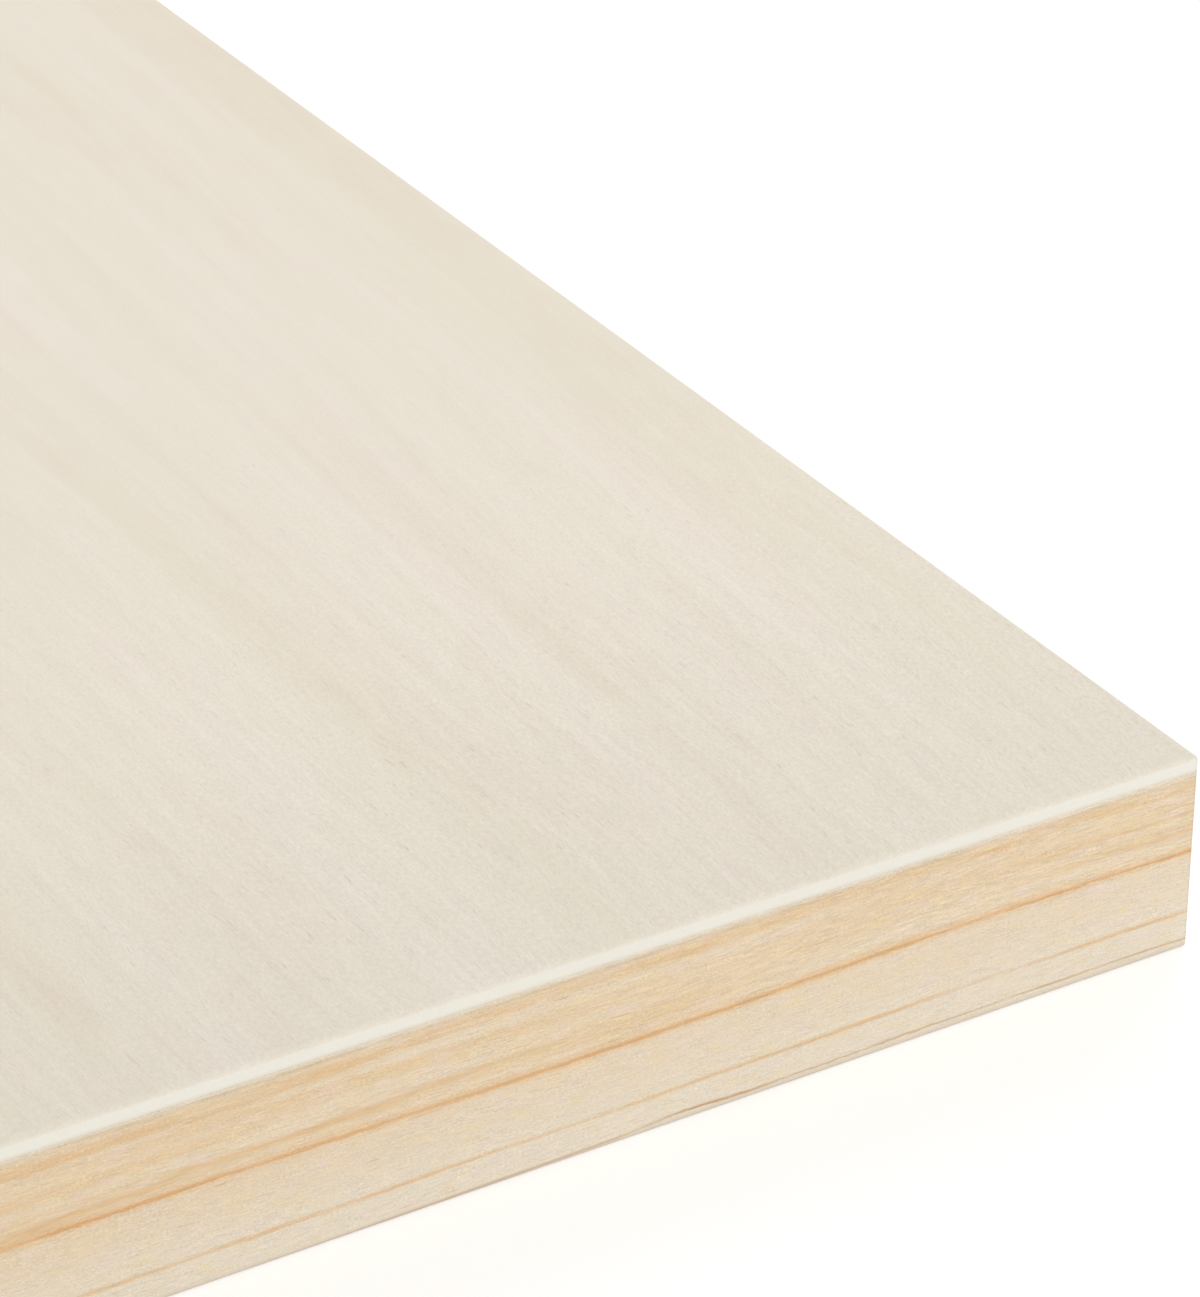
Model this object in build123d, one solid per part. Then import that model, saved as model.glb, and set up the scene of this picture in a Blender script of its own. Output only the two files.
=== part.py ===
from build123d import *
import math
import os

# A lumber-core plywood sheet, lying flat with its good face up.
# The origin is the centre of the underside. X runs across the sheet, Y along it, Z up.

# Outline of the sheet. The grain of the face ply runs along the length.
sheet_length = 600.0
sheet_width = 300.0

# The three plies, from the top down. Together they make the 18 mm that the sheet is sold by.
face_ply_thickness = 1.5
core_thickness = 16.0
back_ply_thickness = 0.5

# The top edges of the face ply are eased with sandpaper, and the edges underneath only lightly.
arris_radius = 0.5
underside_arris_radius = 0.25

# The core is sawn staves, glued edge to edge, with their grain across the sheet.
stave_width = 28.0

# Heights of the glue lines above the underside.
back_glue_line = back_ply_thickness
face_glue_line = back_glue_line + core_thickness

# The sheet is trimmed out of a longer panel, so each outer stave is a cut one.
# Whole staves fill the middle, and what is left on each side is at least half a stave wide.
whole_staves = max(math.floor(sheet_length / stave_width) - 1, 0)
front_edge = -sheet_length / 2
first_joint = -whole_staves * stave_width / 2


def layer(thickness, underside, front, back):
    """A flat layer across the whole width of the sheet, from one Y to another."""
    block = Box(sheet_width, back - front, thickness, align=(Align.CENTER, Align.MIN, Align.MIN))
    return Pos(0, front, underside) * block


def make_face_ply():
    """The pale peeled veneer on top, with its four top edges rounded over."""
    ply = layer(face_ply_thickness, face_glue_line, front_edge, -front_edge)
    top_edges = ply.faces().sort_by(Axis.Z)[-1].edges()
    return fillet(top_edges, arris_radius)


def make_back_ply():
    """The thin veneer underneath, which keeps the sheet from cupping, with its bottom edges eased."""
    ply = layer(back_ply_thickness, 0, front_edge, -front_edge)
    bottom_edges = ply.faces().sort_by(Axis.Z)[0].edges()
    return fillet(bottom_edges, underside_arris_radius)


def stave_joints():
    """The Y of each glued joint in the core, with the sheet's two ends."""
    joints = [first_joint + number * stave_width for number in range(whole_staves + 1)]
    return [front_edge] + joints + [-front_edge]


def make_stave(front, back):
    """One sawn stave of the core, as long as the sheet is wide."""
    return layer(core_thickness, back_glue_line, front, back)


os.makedirs("parts", exist_ok=True)
export_step(make_face_ply(), "parts/face_ply.step")
export_step(make_back_ply(), "parts/back_ply.step")

joints = stave_joints()
for number, (front, back) in enumerate(zip(joints, joints[1:]), start=1):
    export_step(make_stave(front, back), f"parts/core_stave_{number:02d}.step")
print(len(joints) - 1, "core staves between", front_edge, "and", -front_edge)
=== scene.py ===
# %% [markdown]
# # A lumber-core plywood sheet
# The real sheet is three layers: a pale peeled veneer on top, a thick core of softwood staves
# glued edge to edge, and a thin veneer underneath. The shapes come finished from the frame, as
# flat layers with eased edges, so this lesson is about wood: how to paint a veneer and sawn
# softwood with nodes alone, so that top, edges and end grain belong to the same pieces of wood.

# %% Open the frame
import math
import random

import bpy
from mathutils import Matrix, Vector


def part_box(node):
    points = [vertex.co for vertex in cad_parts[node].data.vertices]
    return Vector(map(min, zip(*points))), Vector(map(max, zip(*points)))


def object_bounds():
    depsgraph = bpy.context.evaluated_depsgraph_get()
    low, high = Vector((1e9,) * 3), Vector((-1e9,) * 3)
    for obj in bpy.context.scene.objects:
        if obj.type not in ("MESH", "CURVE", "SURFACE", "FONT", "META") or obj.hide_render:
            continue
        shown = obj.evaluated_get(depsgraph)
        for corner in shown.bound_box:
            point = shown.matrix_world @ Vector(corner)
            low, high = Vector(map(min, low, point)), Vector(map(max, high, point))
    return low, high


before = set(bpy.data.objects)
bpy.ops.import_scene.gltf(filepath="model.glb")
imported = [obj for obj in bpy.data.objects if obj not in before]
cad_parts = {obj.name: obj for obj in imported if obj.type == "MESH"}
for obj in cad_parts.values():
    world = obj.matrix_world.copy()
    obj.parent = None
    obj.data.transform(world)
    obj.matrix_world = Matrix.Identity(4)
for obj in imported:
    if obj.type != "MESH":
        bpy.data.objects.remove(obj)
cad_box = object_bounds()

print("nodes:", len(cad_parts), "box:", [tuple(round(v, 4) for v in corner) for corner in cad_box])

# %% [markdown]
# ## The camera
# The photo was taken close to one corner with a long lens, looking down across the sheet. A
# camera could be aimed at a target with a constraint, but here its place was worked out from the
# photo as a step from the near top corner, and two angles, so it is simply put there. Its long
# side is the picture's height, and that is the side that the sensor width measures.

# %% Camera
MM = 0.001
low_corner, high_corner = cad_box
near_corner = Vector((high_corner.x, low_corner.y, high_corner.z))

corner_to_camera = Vector((-214.1, -266.2, 200.6)) * MM
turned_right = math.radians(30.87)
looking_down = math.radians(29.45)
level_camera = math.pi / 2
picture_height = 1297
focal_pixels = 4984

camera_data = bpy.data.cameras.new("camera")
camera_data.sensor_width = 36
camera_data.lens = camera_data.sensor_width * focal_pixels / picture_height
camera_data.clip_start = 0.02
camera = bpy.data.objects.new("camera", camera_data)
camera.location = near_corner + corner_to_camera
camera.rotation_euler = (level_camera - looking_down, 0, -turned_right)
bpy.context.scene.collection.objects.link(camera)
bpy.context.scene.camera = camera
print("camera at", [round(v, 3) for v in camera.location], "lens", round(camera_data.lens, 1), "mm")

# %% [markdown]
# ## Writing nodes as sums
# A wood finish is mostly arithmetic: stretched noise plus ring lines times a tint. Wiring each
# sum by hand makes a script nobody can read. So one small class wraps a socket, and adds a Math
# node whenever two of them are added or multiplied. A second class holds the node tree and makes
# every other kind of node, and a third is a tree that belongs to a material.

# %% Sockets that add and multiply
class Wire:
    """The output of a node, which can be used in plain arithmetic."""

    def __init__(self, nodes, socket):
        self.nodes = nodes
        self.socket = socket

    def math(self, operation, *values):
        return self.nodes.node("ShaderNodeMath", {"operation": operation}, dict(enumerate(values)))

    def __add__(self, other):
        return self.math("ADD", self, other)

    def __radd__(self, other):
        return self.math("ADD", other, self)

    def __sub__(self, other):
        return self.math("SUBTRACT", self, other)

    def __rsub__(self, other):
        return self.math("SUBTRACT", other, self)

    def __mul__(self, other):
        return self.math("MULTIPLY", self, other)

    def __rmul__(self, other):
        return self.math("MULTIPLY", other, self)

    def __truediv__(self, other):
        return self.math("DIVIDE", self, other)

    def __rtruediv__(self, other):
        return self.math("DIVIDE", other, self)

    def __abs__(self):
        return self.math("ABSOLUTE", self)

    def root(self):
        return self.math("SQRT", self)

    def cosine(self):
        return self.math("COSINE", self)

    def whole(self):
        return self.math("FLOOR", self)

    def fraction(self):
        return self.math("FRACT", self)

    def at_least(self, lowest):
        return self.math("MAXIMUM", self, lowest)

    def ease(self, start, end, low=0.0, high=1.0):
        """A smooth step from low to high as this value goes from start to end."""
        inputs = {"Value": self, "From Min": start, "From Max": end, "To Min": low, "To Max": high}
        return self.nodes.node("ShaderNodeMapRange", {"interpolation_type": "SMOOTHSTEP"}, inputs)

    def near(self, centre, reach):
        """1 where this value is at the centre, easing to 0 at reach on either side."""
        return abs(self - centre).ease(reach, 0)


# %% A node tree, and a finish
class Nodes:
    """A node tree, and the ways of adding to it."""

    def __init__(self, tree):
        self.tree = tree

    def feed(self, socket, value):
        if isinstance(value, Wire):
            self.tree.links.new(value.socket, socket)
        else:
            socket.default_value = value

    def node(self, kind, settings=None, inputs=None, output=0):
        """Adds one node, sets it, feeds its sockets, and gives one of its outputs."""
        made = self.tree.nodes.new(kind)
        for name, value in (settings or {}).items():
            setattr(made, name, value)
        for name, value in (inputs or {}).items():
            self.feed(made.inputs[name], value)
        return Wire(self, made.outputs[output])

    def split(self, vector):
        parts = self.node("ShaderNodeSeparateXYZ", {}, {0: vector})
        return [Wire(self, parts.socket.node.outputs[axis]) for axis in range(3)]

    def join(self, x, y, z):
        return self.node("ShaderNodeCombineXYZ", {}, {0: x, 1: y, 2: z})

    def mix(self, share, first, second):
        """From the first value to the second as share goes from 0 to 1."""
        return first + (second - first) * share

    def blend(self, share, first, second):
        """From the first colour to the second as share goes from 0 to 1."""
        factor, a, b, result = 0, 6, 7, 2
        inputs = {factor: share, a: first, b: second}
        return self.node("ShaderNodeMix", {"data_type": "RGBA"}, inputs, result)


class Finish(Nodes):
    """One material, and the nodes that draw it."""

    def __init__(self, name, roughness, gloss=0.3):
        self.material = bpy.data.materials.new(name)
        self.material.use_nodes = True
        super().__init__(self.material.node_tree)
        self.shader = self.tree.nodes["Principled BSDF"]
        self.shader.inputs["Roughness"].default_value = roughness
        self.shader.inputs["Specular IOR Level"].default_value = gloss

    def paint(self, colour, shade, height, depth):
        """Feeds the shader a colour times a shade, and a bump from a height and its depth in mm."""
        shaded = self.node("ShaderNodeVectorMath", {"operation": "SCALE"}, {0: colour, "Scale": shade})
        self.feed(self.shader.inputs["Base Color"], shaded)
        inputs = {"Height": height, "Strength": 0.5, "Distance": depth * MM}
        self.feed(self.shader.inputs["Normal"], self.node("ShaderNodeBump", {}, inputs))
        print(self.material.name, "has", len(self.tree.nodes), "nodes")


# %% [markdown]
# ## Noise with a grain
# Wood is cloudy noise stretched along its fibres. All patterns here are laid out in millimetres
# in the sheet's own space, so a fleck is as long on every piece as it was measured to be, and the
# same pattern carries on round an edge from the long grain into the end grain. The veneers have
# their fibres along Y, and the staves have theirs along X.

# %% Stretched noise in millimetres
noise_step = (7.3, 3.1, 5.7)


def place_in_mm(finish):
    """The place of a surface point in the sheet, in millimetres."""
    coordinates = finish.node("ShaderNodeTexCoord", {}, {}, "Object")
    scaling = {0: coordinates, "Scale": 1 / MM}
    return finish.node("ShaderNodeVectorMath", {"operation": "SCALE"}, scaling)


def facing(finish):
    """How much the surface faces along X, along Y and along Z, whichever way round."""
    normal = finish.node("ShaderNodeTexCoord", {}, {}, "Normal")
    return [abs(part) for part in finish.split(normal)]


def along_x(length, width):
    return (length, width, width)


def along_y(length, width):
    return (width, length, width)


def grain_noise(finish, place, size, seed, detail=1.0, roughness=0.5):
    """Noise between -1 and 1, mostly small, with features of a size given in mm along X, Y and Z."""
    inputs = {"Vector": place, "Location": tuple(seed * step for step in noise_step)}
    inputs["Scale"] = tuple(1 / length for length in size)
    stretched = finish.node("ShaderNodeMapping", {}, inputs)
    inputs = {"Vector": stretched, "Scale": 1.0, "Detail": detail, "Roughness": roughness}
    return (finish.node("ShaderNodeTexNoise", {}, inputs) - 0.5) * 2.0


def linear(red, green, blue):
    """A colour from 0 to 255 as a screen shows it, as the light that a shader reckons with."""
    levels = [value / 255 for value in (red, green, blue)]
    return tuple(v / 12.92 if v <= 0.04045 else ((v + 0.055) / 1.055) ** 2.4 for v in levels) + (1.0,)


print("each seed moves the noise by", noise_step)

# %% Where things are on the sheet, in mm
top_of_sheet = high_corner.z / MM
right_side = high_corner.x / MM
front_side = low_corner.y / MM
face_glue_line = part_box("face_ply")[0].z / MM
print("the face ply is", round(top_of_sheet - face_glue_line, 2), "mm thick")

# %% [markdown]
# ## The face veneer
# A pale diffuse-porous wood, peeled from the log, sanded and left bare. Close up it is cream with
# soft clouds and greener patches along the grain, a few long warm and pale stripes, and thousands
# of short vessel marks a millimetre or two long. An image texture would repeat and would need the
# photo, so each of those is one layer of noise. Fibres never run quite straight, so the fine
# layers are drawn over a sideways sway. They also lean a little, to the right beside the right
# side and to the left further in.

# %% Colours of the face veneer
warm_cream = linear(224, 213, 196)
pale_cream = linear(230, 222, 210)
green_cream = linear(226, 220, 202)
stain_brown = linear(222, 207, 190)
arris_cream = linear(228, 221, 204)
# The white of the sawn edge carries a painted highlight, where the edge faces the front.
edge_white_highlight = linear(237, 233, 221)
glue_cream = linear(225, 217, 199)
print("warm cream is", [round(v, 3) for v in warm_cream[:3]], "as light")

# %% Sawn edge of the face veneer
edge_starts, edge_settles = top_of_sheet - 0.2, top_of_sheet - 0.6
highlight_facing_front = (0.3, 0.7)
glue_reach, glue_dullness = 0.3, 0.6


def face_edge_colour(finish, colour, z):
    """The sawn edge of the veneer is painted paler than its face, a painted highlight where it faces the
    front, and duller along the glue.
    """
    edge_share = z.ease(edge_starts, edge_settles)
    sawn_edge_and_highlight = finish.blend(facing(finish)[1].ease(*highlight_facing_front), arris_cream, edge_white_highlight)
    colour = finish.blend(edge_share, colour, sawn_edge_and_highlight)
    glue_share = z.ease(face_glue_line + glue_reach, face_glue_line) * glue_dullness
    return finish.blend(glue_share, colour, glue_cream), edge_share


print("the edge's own colour starts", round(top_of_sheet - edge_starts, 2), "mm below the top")

# %% [markdown]
# The stripes that the eye picks out in the photo are listed as distances from the right side of the
# sheet, and so is one small stain. Everything else is left to the noise. The marks
# are strongest beside the front edge, where the saw and the light bring them out, and they fade
# away from it. The last quarter of a millimetre beside the right side is darker, as in the photo.

# %% Stripes, stain and marks of the face veneer
pale_stripe = (25, 14)
warm_stripes = ((5, 8, 1.3), (55, 12, 1.0), (71, 13, 1.2))
stain_from_right = (92.5, 3)
stain_from_front = (16, 12)
lean_left, lean_right = -0.03, 0.065
sway_reach = 1.3
cloud_weight, streak_weight, pale_weight, warm_weight = 1.25, 0.35, 0.25, 0.18


def face_tone(from_right, clouds, streaks):
    """How pale the veneer is: clouds, fine streaks, and the stripes that are listed."""
    pale = from_right.near(*pale_stripe)
    warm = sum(from_right.near(centre, reach) * strength for centre, reach, strength in warm_stripes)
    return clouds * cloud_weight + streaks * streak_weight + pale * pale_weight - warm * warm_weight


def leaning_grain(finish, place, from_front):
    """The place of a point, moved sideways so that fibres drawn along Y lean and sway."""
    x, y, z = finish.split(place)
    lean = (right_side - x).ease(80, 10, lean_left, lean_right)
    sway = grain_noise(finish, place, along_y(30, 35), seed=7, detail=0) * sway_reach
    return finish.join(x - (lean * from_front + sway), y, z)


print("stripes:", 1 + len(warm_stripes))

# %% Face veneer finish
# What fades is given by where the fade starts and ends, in mm, and by its strength at both.
marks_from_front = (20, 110, 1.3, 0.2)
marks_from_right = (40, 110, 1.0, 0.75)
# Painted light: the face is painted a little lighter further back from the front edge.
painted_light_from_front = (0, 60, 0.99, 1.045)
# Painted shade: the last quarter millimetre beside the right side is painted darker, where the arris
# turns away from the light.
painted_right_arris_shade = (0, 0.25, 0.92, 1.0)
thread_strength, fibre_strength, vessel_strength, streak_strength = 0.06, 0.105, 0.12, 0.02
green_strength, stain_strength, edge_calm = 0.6, 0.5, 0.75


def make_face_finish():
    finish = Finish("face_veneer", roughness=0.7)
    place = place_in_mm(finish)
    x, y, z = finish.split(place)
    from_right = right_side - x
    from_front = y - front_side
    grain = leaning_grain(finish, place, from_front)

    clouds = grain_noise(finish, place, along_y(190, 10), seed=1, detail=2, roughness=0.55)
    streaks = grain_noise(finish, grain, along_y(45, 1.2), seed=2, detail=2)
    patches = grain_noise(finish, place, along_y(50, 14), seed=9)
    tint = grain_noise(finish, grain, along_y(8, 2.5), seed=5)
    threads = grain_noise(finish, grain, along_y(4.5, 0.45), seed=6, detail=2, roughness=0.6)
    fibres = grain_noise(finish, grain, along_y(0.55, 0.15), seed=3)
    vessels = grain_noise(finish, grain, along_y(1.8, 0.17), seed=4)
    vessel_marks = vessels.ease(-0.3, -0.55) * tint.ease(0.3, -0.2)

    tone = face_tone(from_right, clouds, streaks)
    colour = finish.blend(tone.ease(-0.9, 0.9), warm_cream, pale_cream)
    colour = finish.blend((tint + patches * 1.5).ease(-0.7, 0.7) * green_strength, colour, green_cream)
    stain = from_right.near(*stain_from_right) * from_front.near(*stain_from_front)
    colour = finish.blend(stain * stain_strength, colour, stain_brown)
    colour, edge_share = face_edge_colour(finish, colour, z)

    marks = threads * thread_strength + fibres * fibre_strength - vessel_marks * vessel_strength
    marks = marks * from_front.ease(*marks_from_front) * from_right.ease(*marks_from_right)
    shade = 1.0 + marks * (1 - edge_share * edge_calm) + streaks * streak_strength
    shade = shade * from_front.ease(*painted_light_from_front) * from_right.ease(*painted_right_arris_shade)
    finish.paint(colour, shade, height=fibres, depth=0.012)
    return finish.material


face_finish = make_face_finish()

# %% [markdown]
# ## The core softwood
# Each stave is a stick sawn out of a fast-grown softwood trunk. In a trunk the year rings are
# tubes round the pith. So a stave's finish needs only the place of its pith: the distance from
# there says how far a point is through its year, and the dark late wood of each year paints long
# lines along the sides and arcs on the end grain, which meet at the corners as in real wood.
#
# The front stave is the one in the photo. Its three rings were measured there, as depths in mm
# below the face glue line at the right side of the sheet, and so was the slow wave that they make
# along the edge: two cosines, each with its length, the place of its crest and its height in mm.

# %% The front stave's rings
pith_height = 55
first_ring, second_ring, third_ring = 7.3, 13.1, 15.65
ring_waves = ((95, 71, 0.22), (70, -26, 0.15))
ring_level = 0.19
calm_below_second = 0.35
hump_place, hump_reach, hump_height = 48, 7, 0.3
sink_length, sink_slope = 190, 0.1


def ring_course(from_right):
    """How far the rings of the front stave wander up and down along its length, in mm."""
    waves = [((from_right - crest) * (math.tau / length)).cosine() * height
             for length, crest, height in ring_waves]
    return sum(waves) + ring_level


def distance(across, down):
    return (across * across + down * down).root()


def front_depth(from_right, y, z):
    """Depth below the face glue line, counted so that it stays level along a ring."""
    depth = distance(y - front_side, face_glue_line + pith_height - z) - pith_height
    wander = ring_course(from_right) * depth.ease(first_ring, second_ring, 1.0, calm_below_second)
    hump = from_right.near(hump_place, hump_reach) * hump_height * depth.ease(second_ring, third_ring)
    sink = 1 - (from_right * (math.pi / sink_length)).cosine()
    return depth - wander + hump - (depth - first_ring).at_least(0) * sink * sink_slope


print("rings at", (first_ring, second_ring, third_ring), "mm below the face glue line")

# %% [markdown]
# Late wood darkens slowly through the summer and ends with the year, so a ring line fades in from
# one side and stops sharply on the other. A plain stripe would look inked. Each of the three rings
# has a brown of its own in the photo, and the third has a dark spot where it humps.

# %% Lines of late wood
halo_orange = linear(225, 187, 141)
first_brown = linear(217, 170, 119)
second_brown = linear(223, 190, 148)
third_brown = linear(198, 164, 127)
halo_reach, first_reach, second_reach, third_reach = (1.0, 0.5), (0.36, 0.24), (0.45, 0.3), (0.28, 0.18)
first_line_drop = 0.03
halo_strength, second_strength, third_strength, spot_strength = 0.6, 0.78, 0.75, 0.5
dark_spot_place, dark_spot_reach = 45, 7


def late_line(depth, centre, above, below):
    """A line of late wood, which fades over one length above its centre and another below it."""
    return depth.ease(centre - above, centre) * depth.ease(centre + below, centre)


def front_lines(finish, colour, depth, strength, from_right):
    """Draws the three rings of the front stave over a colour."""
    colour = finish.blend(late_line(depth, first_ring, *halo_reach) * halo_strength, colour, halo_orange)
    first = late_line(depth, first_ring + first_line_drop, *first_reach) * strength
    colour = finish.blend(first.ease(0, 1), colour, first_brown)
    second = late_line(depth, second_ring, *second_reach) * strength * second_strength
    colour = finish.blend(second.ease(0, 1), colour, second_brown)
    dark_spot = from_right.near(dark_spot_place, dark_spot_reach)
    third_darkness = strength * third_strength + dark_spot * spot_strength
    third = late_line(depth, third_ring, *third_reach) * third_darkness
    return finish.blend(third.ease(0, 1), colour, third_brown)


print("the first ring's line is", round(sum(first_reach), 2), "mm wide")

# %% [markdown]
# Sawn end grain shows the fibres from their ends. It soaks up light, so it is darker than the
# sides, with fine specks and with rays that point at the pith. Which of the two a point shows
# is told by the way that its surface faces: the staves run along X, so their ends face along X.

# %% End grain
end_darkness = 0.87
ray_strength, speck_strength = 0.12, 0.2
ray_circle = 50


def end_grain(finish):
    """1 on the sawn ends of a stave and 0 on its sides."""
    return facing(finish)[0].ease(0.5, 0.9)


def end_shade(finish, place, across, down, seed):
    """The light and dark of end grain, with the pith at a distance across and down."""
    x = finish.split(place)[0]
    angle = across.math("ARCTAN2", across, down)
    polar = finish.join(x, angle * ray_circle, distance(across, down))
    rays = grain_noise(finish, polar, (5, 0.35, 4), seed=seed)
    specks = grain_noise(finish, place, along_x(5, 0.22), seed=seed + 1, roughness=0.65)
    return end_darkness + rays * ray_strength + specks * speck_strength


print("end grain is", end_darkness, "times as bright as the sides")

# %% [markdown]
# Between the glue line and the first ring the front stave is warm, with thin orange streaks, and
# below that ring it turns pale, because another year starts there. Painting one even colour and
# a few lines would look printed. So each zone is a blend of two close colours by noise that is
# as long and as thin as the streaks, and the finest threads only make it lighter and darker.

# %% Colours of the front stave
early_pale = linear(229, 212, 185)
early_tan = linear(226, 199, 161)
late_cream = linear(229, 212, 187)
late_pale = linear(230, 219, 200)
late_tan = linear(226, 203, 168)
streak_orange = linear(221, 186, 140)
glue_brown = linear(213, 190, 158)
glue_pale = linear(226, 214, 194)
blush_yellow = linear(233, 212, 168)
blush_pink = linear(231, 213, 202)
dash_brown = linear(200, 162, 118)
print("streak orange is", [round(v, 3) for v in streak_orange[:3]], "as light")

# %% Warm streaks of the front stave
early_fade = 0.9
left_band_start, left_band_depth, left_band_reach = 58, 5.1, 0.4
left_band_fall, left_band_growth = 0.034, 0.014
left_band_shows = (52, 66)
upper_streak, upper_streak_shows = (3.7, 0.3), (30, 8)
lower_streak, lower_streak_shows = (5.3, 0.7), (28, 2)
left_strength, right_strength, stray_strength = 0.65, 0.6, 0.35


def above_first_ring(depth):
    """1 above the first ring, and 0 from a little way below it."""
    return depth.ease(first_ring + early_fade, first_ring)


def orange_streaks(depth, from_right, patches):
    """Where the upper part of the front stave is more orange."""
    past_start = from_right - left_band_start
    band_depth = left_band_depth + past_start * left_band_fall
    band_reach = left_band_reach + past_start * left_band_growth
    left_band = depth.near(band_depth, band_reach) * from_right.ease(*left_band_shows)
    upper_right = depth.near(*upper_streak) * from_right.ease(*upper_streak_shows)
    lower_right = depth.near(*lower_streak) * from_right.ease(*lower_streak_shows)
    stray = patches.ease(0.1, 0.5) * above_first_ring(depth)
    right = (upper_right + lower_right) * right_strength
    return left_band * left_strength + right + stray * stray_strength


print("orange streaks lie", (left_band_depth, upper_streak[0], lower_streak[0]), "mm below the glue line")

# %% Beside the glue line, and between the rings
glue_haze, glue_film, brown_line_place = (1.1, 0.3), (0.4, 0.1), (0.45, 0.35)
haze_strength, smoke_strength = 0.5, 0.8
smoke_depth, smoke_reach = 1.15, 0.75
smoke_sinks, smoke_widens, smoke_grows = 0.45, 0.3, 0.3
smoke_thickens = (50, 90)
# Further down, the lower wood is painted paler: partly its own paler colour, partly painted light against
# the shade beside the floor.
paler_wood_and_light_further_down = (8, 15)


def beside_glue(finish, colour, below_glue, from_right, patches):
    """Glue has dulled the top of the stave, with smoky orange patches under it."""
    colour = finish.blend(below_glue.ease(*glue_haze) * haze_strength, colour, glue_pale)
    further_left = from_right.ease(*smoke_thickens)
    smoke = (patches + further_left * smoke_grows).ease(-0.3, 0.5)
    depth = smoke_depth + further_left * smoke_sinks
    orange = below_glue.near(depth, smoke_reach + further_left * smoke_widens) * smoke
    colour = finish.blend(orange * smoke_strength, colour, streak_orange)
    brown_line = below_glue.near(*brown_line_place) * (0.5 + patches).ease(0, 1)
    colour = finish.blend(brown_line, colour, glue_brown)
    return finish.blend(below_glue.ease(*glue_film), colour, glue_pale)


def between_rings(finish, depth, from_right, bands, lines, mottle):
    """The wood between the rings: tan above the first of them, and paler below it."""
    tan = 0.55 + bands * 0.9 + lines * 0.35
    upper = finish.blend(tan.ease(0, 1), early_pale, early_tan)
    tan = 0.15 + lines * 0.12 + mottle * 0.22 + from_right.ease(50, 100) * depth.ease(12, 8) * 0.3
    lower = finish.blend(depth.ease(*paler_wood_and_light_further_down), late_cream, late_pale)
    lower = finish.blend(tan.ease(0, 1), lower, late_tan)
    return finish.blend(above_first_ring(depth), lower, upper)


print("the orange smoke is", smoke_depth, "mm below the glue line")

# %% Front stave finish
thread_grit, speck_grit = 0.12, 0.2
depth_waver, line_waver = 0.12, 0.09
blush_strength, dash_strength = 0.4, 0.55
early_grit = (70, 20, 0.02, 0.09)
# Darker within 0.2 mm of the right corner: end grain showing on the worn, rounded arris, and painted
# shade where it turns from the light.
corner_end_grain_and_shade = (0, 0.2, 0.88, 1.0)
# Painted shade: the edge is painted a little darker further from the right side.
painted_shade_from_right = (10, 120, 1.0, 0.98)


def make_front_stave_finish():
    finish = Finish("softwood_01", roughness=0.7)
    place = place_in_mm(finish)
    x, y, z = finish.split(place)
    from_right = right_side - x
    level_depth = front_depth(from_right, y, z)
    grain = finish.join(x, y, level_depth)
    depth = level_depth + grain_noise(finish, place, along_x(9, 3), seed=17) * depth_waver
    ring_depth = depth + grain_noise(finish, grain, along_x(0.9, 0.4), seed=23) * line_waver

    bands = grain_noise(finish, grain, along_x(38, 1.1), seed=12)
    lines = grain_noise(finish, grain, along_x(8, 0.3), seed=19, detail=2, roughness=0.65)
    patches = grain_noise(finish, grain, along_x(6, 0.7), seed=18, detail=2, roughness=0.65)
    mottle = grain_noise(finish, grain, along_x(4, 1.6), seed=14, detail=2, roughness=0.6)
    blush = grain_noise(finish, grain, along_x(2.4, 1.0), seed=22)
    threads = grain_noise(finish, grain, along_x(1.1, 0.12), seed=15)
    specks = grain_noise(finish, grain, along_x(0.25, 0.12), seed=21)
    dashes = grain_noise(finish, grain, along_x(3.2, 0.2), seed=13).ease(-0.4, -0.62)
    along = grain_noise(finish, finish.join(x, depth * 0.5, 0), along_x(12, 3), seed=16)

    colour = between_rings(finish, depth, from_right, bands, lines, mottle)
    colour = finish.blend(blush.ease(0, 0.6) * blush_strength, colour, blush_yellow)
    colour = finish.blend(blush.ease(0, -0.6) * blush_strength, colour, blush_pink)
    orange = orange_streaks(depth, from_right, patches) * (0.9 + lines + specks * 0.8)
    colour = finish.blend(orange.ease(0, 1), colour, streak_orange)
    colour = finish.blend(dashes * dash_strength, colour, dash_brown)
    colour = front_lines(finish, colour, ring_depth, 0.8 + along * 0.8 + lines * 0.7, from_right)
    colour = beside_glue(finish, colour, face_glue_line - z, from_right, patches + lines * 0.5)

    more_grit = above_first_ring(depth) * from_right.ease(*early_grit)
    grit = threads * (thread_grit + more_grit) + specks * speck_grit
    side_shade = 1.0 + grit * mottle.ease(0.4, -0.4, 0.7, 1.2) + mottle * 0.03
    side_shade = side_shade * from_right.ease(*corner_end_grain_and_shade) * from_right.ease(*painted_shade_from_right)
    ends = end_shade(finish, place, y - front_side, face_glue_line + pith_height - z, seed=20)
    shade = finish.mix(end_grain(finish), side_shade, ends)
    finish.paint(colour, shade, height=threads, depth=0.015)
    return finish.material


# %% [markdown]
# The other staves show only their ends, and the last one its side. Nobody can place their rings
# from the photo, so each gets its own pith and its own ring spacing by dice. Counting the years
# outwards from the pith, the whole part of the count names a ring and gives it a darkness of its
# own, and the fraction says how far a point is through that year. The dice are seeded, so every
# run of the script throws the same numbers.

# %% Core stave finish
stave_pale = linear(228, 213, 190)
stave_tan = linear(226, 203, 170)
late_wood = linear(190, 140, 92)
joint_brown = linear(150, 118, 84)
joint_outside, joint_inside = 0.08, 0.22
bend_reach = 1.2
summer, summer_share = (0.35, 0.93), 0.35
year_end = (0.95, 0.1, 0.03)
faintest_ring, ring_contrast = 0.35, 0.6
fibre_contrast, joint_strength = 0.13, 0.5


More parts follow.
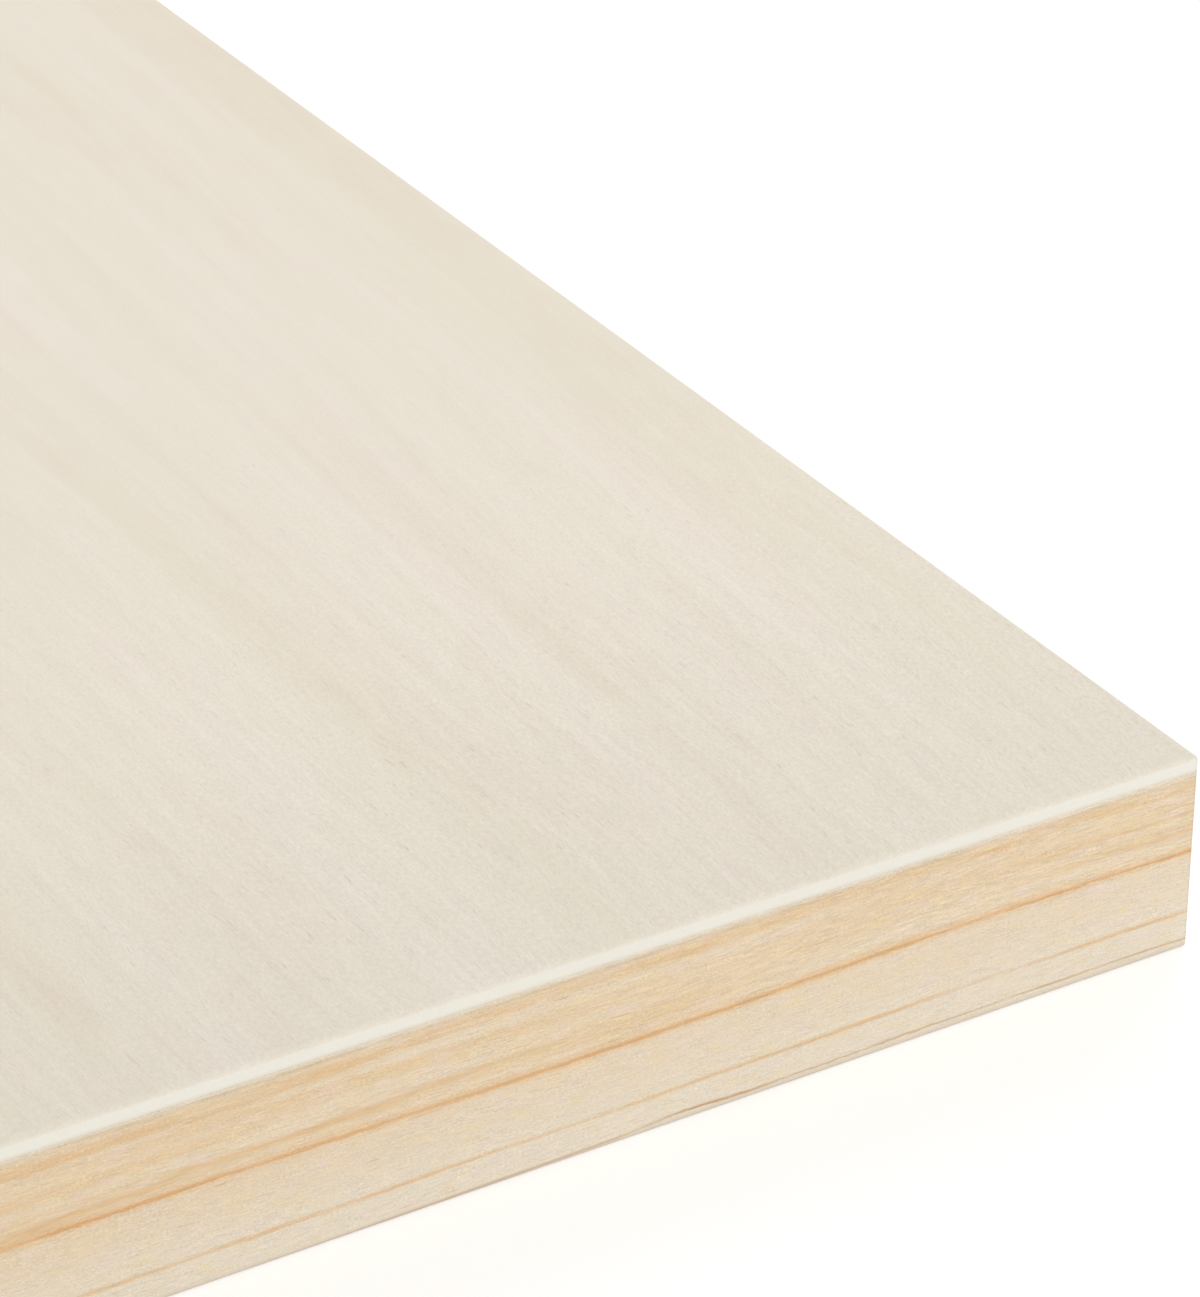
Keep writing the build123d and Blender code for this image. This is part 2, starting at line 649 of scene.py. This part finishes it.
def make_core_finish(name, low, high, pith_y, pith_z, spacing, seed):
    finish = Finish(name, roughness=0.75)
    place = place_in_mm(finish)
    _, y, z = finish.split(place)

    bend = grain_noise(finish, place, along_x(80, 25), seed=seed)
    across = y - pith_y
    down = pith_z - z
    years = (distance(across, down) + bend * bend_reach) / spacing
    ring = years.whole()
    through_year = years.fraction()
    dimensions = {"noise_dimensions": "1D"}
    ring_darkness = finish.node("ShaderNodeTexWhiteNoise", dimensions, {"W": ring + seed})
    late = through_year.ease(*summer) * summer_share
    late = late + late_line(through_year, *year_end) * (1 - summer_share)
    late = late * (faintest_ring + ring_darkness * ring_contrast)

    fibres = grain_noise(finish, place, along_x(4, 0.35), seed=seed + 1, detail=2, roughness=0.7)
    bands = grain_noise(finish, place, along_x(60, 2.5), seed=seed + 2, detail=2)
    colour = finish.blend(bands.ease(-0.5, 0.5), stave_pale, stave_tan)
    colour = finish.blend(late, colour, late_wood)
    joint = sum(gap.ease(joint_inside, joint_outside) for gap in (y - low.y, high.y - y))
    colour = finish.blend(joint * joint_strength, colour, joint_brown)

    ends = end_shade(finish, place, across, down, seed + 3)
    shade = finish.mix(end_grain(finish), 1.0 + fibres * fibre_contrast, ends)
    finish.paint(colour, shade, height=fibres, depth=0.03)
    return finish.material


# %% One finish for each stave
pith_off_middle = (-30, 30)
pith_above_or_below = (20, 60)
ring_spacing = (3, 6)

staves = sorted(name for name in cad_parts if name.startswith("core_stave"))
dice = random.Random(18)
core_finishes = {staves[0]: make_front_stave_finish()}
for number, name in enumerate(staves[1:], start=2):
    low, high = (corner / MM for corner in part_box(name))
    pith_y = (low.y + high.y) / 2 + dice.uniform(*pith_off_middle)
    pith_z = face_glue_line + dice.choice((-1, 1)) * dice.uniform(*pith_above_or_below)
    spacing = dice.uniform(*ring_spacing)
    softwood = "softwood_" + name[-2:]
    core_finishes[name] = make_core_finish(softwood, low, high, pith_y, pith_z, spacing, 10 * number)
print("softwood finishes:", len(core_finishes))

# %% [markdown]
# ## The back veneer
# The photo never shows the underside. A sheet like this carries a cheaper, thinner veneer there,
# a little darker and browner than the face, with the grain the same way, and so it is painted
# with the same kinds of noise in plainer colours. Only its front edge is in the photo. The
# third ring of the stave above runs down into it there, so that edge draws the same line.

# %% Back veneer finish
back_tan = linear(220, 205, 182)
back_cream = linear(226, 214, 195)
back_edge = linear(224, 212, 192)
edge_line_strength = 0.8
edge_begins = (0.05, 0.3)
# Painted shade: the lower arris is painted darker, where it faces the floor under the sheet.
painted_lower_arris_shade = (0.1, 0.45, 0.94, 1.0)


def make_back_finish():
    finish = Finish("back_veneer", roughness=0.7)
    place = place_in_mm(finish)
    x, y, z = finish.split(place)
    from_right = right_side - x

    clouds = grain_noise(finish, place, along_y(90, 14), seed=61, detail=3)
    streaks = grain_noise(finish, place, along_y(40, 1.6), seed=60, detail=3)
    fibres = grain_noise(finish, place, along_y(2.5, 0.3), seed=62, detail=2, roughness=0.6)
    tone = clouds * 1.3 + streaks * 0.7
    colour = finish.blend(tone.ease(-0.7, 0.7), back_tan, back_cream)
    depth = front_depth(from_right, y, z)
    edge = front_lines(finish, back_edge, depth, edge_line_strength, from_right)
    colour = finish.blend(z.ease(*edge_begins), colour, edge)
    shade = (1.0 + streaks * 0.03 + fibres * 0.08) * z.ease(*painted_lower_arris_shade)
    finish.paint(colour, shade, height=streaks + fibres, depth=0.02)
    return finish.material


back_finish = make_back_finish()

# %% [markdown]
# ## Dress the pieces
# The frame's objects already have the right shapes, with one material slot each. Adding a second
# mesh over them would only hide them, so a finish is put straight into the slot that is there.

# %% Put each finish on its piece
def dress(name, material):
    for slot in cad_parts[name].material_slots:
        slot.material = material


finishes = {"face_ply": face_finish, "back_ply": back_finish, **core_finishes}
for name, material in finishes.items():
    dress(name, material)
print("pieces dressed:", len(finishes))

# %% [markdown]
# ## Floor and light
# The photo has the sheet on pure white. A white floor could be had by pouring light on it, but
# then the pale veneer would burn out too. So the light stays at a level where a colour renders
# about as it is written, and the floor and the sky only look brighter to a ray that comes from
# the camera, from a reflection or through glass. The floor does so less beside the sheet, where
# its soft shadow has to show, and more further away, where the lamps no longer reach.

# %% Floor
floor_grey = (0.85, 0.85, 0.85, 1)
no_glow = (0, 0, 0, 1)
near_glow = (0.26, 0.26, 0.26, 1)
far_glow = (0.465, 0.465, 0.465, 1)
near_glow_ends, far_glow_starts = 400, 1600
floor_size = 12


def looked_at(nodes):
    """1 for the rays that show a thing to the eye, and 0 for the rays that only carry light."""
    rays = ("Is Camera Ray", "Is Glossy Ray", "Is Transmission Ray")
    return sum(nodes.node("ShaderNodeLightPath", {}, {}, ray) for ray in rays).ease(0, 1)


def make_floor_finish():
    finish = Finish("white_floor", roughness=1.0, gloss=0.0)
    finish.shader.inputs["Base Color"].default_value = floor_grey
    finish.shader.inputs["Emission Strength"].default_value = 1.0
    x, y, _ = finish.split(place_in_mm(finish))
    further_away = distance(x, y).ease(near_glow_ends, far_glow_starts)
    glow = finish.blend(further_away, near_glow, far_glow)
    glow = finish.blend(looked_at(finish), no_glow, glow)
    finish.feed(finish.shader.inputs["Emission Color"], glow)
    return finish.material


bpy.ops.mesh.primitive_plane_add(size=floor_size, location=(0, 0, 0))
floor = bpy.context.object
floor.name = "floor"
floor.data.materials.append(make_floor_finish())
print("floor", tuple(floor.dimensions))

# %% [markdown]
# The photo's light is broad and almost even: the edge is as bright as the top, and only the
# arris catches a little more. An even sky does most of that. One large soft lamp in front lifts
# the sawn edge to the level of the top, a small one behind adds light to the far side, and a
# third fills the two sides that the camera doesn't see.

# %% Lamps and sky
sky_light = (0.63, 0.63, 0.63, 1)
sky_seen = (1, 1, 1, 1)
world = bpy.data.worlds.new("studio")
world.use_nodes = True
sky = Nodes(world.node_tree)
background = world.node_tree.nodes["Background"]
background.inputs["Strength"].default_value = 1.0
sky.feed(background.inputs["Color"], sky.blend(looked_at(sky), sky_light, sky_seen))
bpy.context.scene.world = world


def soft_lamp(name, place, target, size, power):
    """A square soft lamp of a size in metres, aimed at a target."""
    data = bpy.data.lights.new(name, "AREA")
    data.shape = "SQUARE"
    data.size = size
    data.energy = power
    lamp = bpy.data.objects.new(name, data)
    lamp.location = place
    lamp.rotation_euler = (Vector(place) - Vector(target)).to_track_quat("Z", "Y").to_euler()
    bpy.context.scene.collection.objects.link(lamp)
    print(name, power, "W")


middle = (0, 0, 0)
soft_lamp("front_softbox", (1.7, -2.6, 1.65), near_corner, size=1.6, power=47)
soft_lamp("back_softbox", (0.83, 0.42, 0.7), near_corner, size=0.6, power=2.4)
soft_lamp("fill_softbox", (-1.6, 1.8, 1.2), middle, size=1.6, power=14)

bpy.context.scene.view_settings.view_transform = "Standard"

# %% The end
print("scene built")
